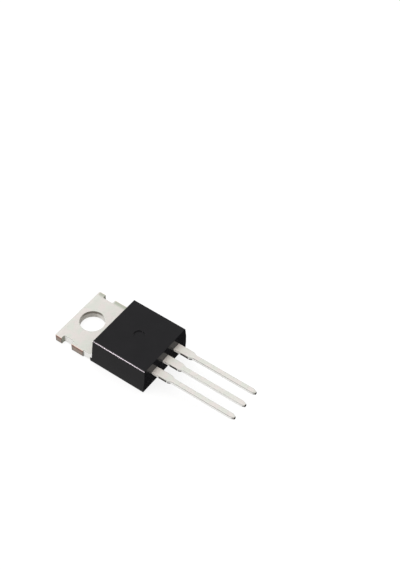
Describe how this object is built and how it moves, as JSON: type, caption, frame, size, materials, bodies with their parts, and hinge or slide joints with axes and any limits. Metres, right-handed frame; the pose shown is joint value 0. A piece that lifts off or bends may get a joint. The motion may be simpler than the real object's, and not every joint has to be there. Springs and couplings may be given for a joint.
{
  "type": "schottky diode",
  "caption": "Dual schottky diode in a flat moulded power package: metal tab with a mounting hole, black epoxy body and straight leads in a row.",
  "frame": {"origin": "centre of the mounting hole on the back plane of the tab", "axes": "+Z out of the moulded front, +Y towards the free end of the tab, leads towards -Y, X across the leads"},
  "size_m": [0.01, 0.0294, 0.0044],
  "materials": {
    "epoxy": "black epoxy moulding compound with a fine satin grain",
    "tin_plate": "satin tin plate over copper, bare copper where ears were sheared",
    "silicon": "silicon die with a metallised top",
    "solder": "dull solder",
    "bond_wire": "bright drawn aluminium wire"
  },
  "bodies": {
    "root": {"moulded_body": "epoxy", "tab_cathode_lead": "tin_plate", "anode_lead_1": "tin_plate", "anode_lead_2": "tin_plate", "schottky_die_1": "silicon", "schottky_die_2": "silicon", "die_solder_1": "solder", "die_solder_2": "solder", "bond_wire_1a": "bond_wire", "bond_wire_1b": "bond_wire", "bond_wire_2a": "bond_wire", "bond_wire_2b": "bond_wire"}
  },
  "joints": []
}
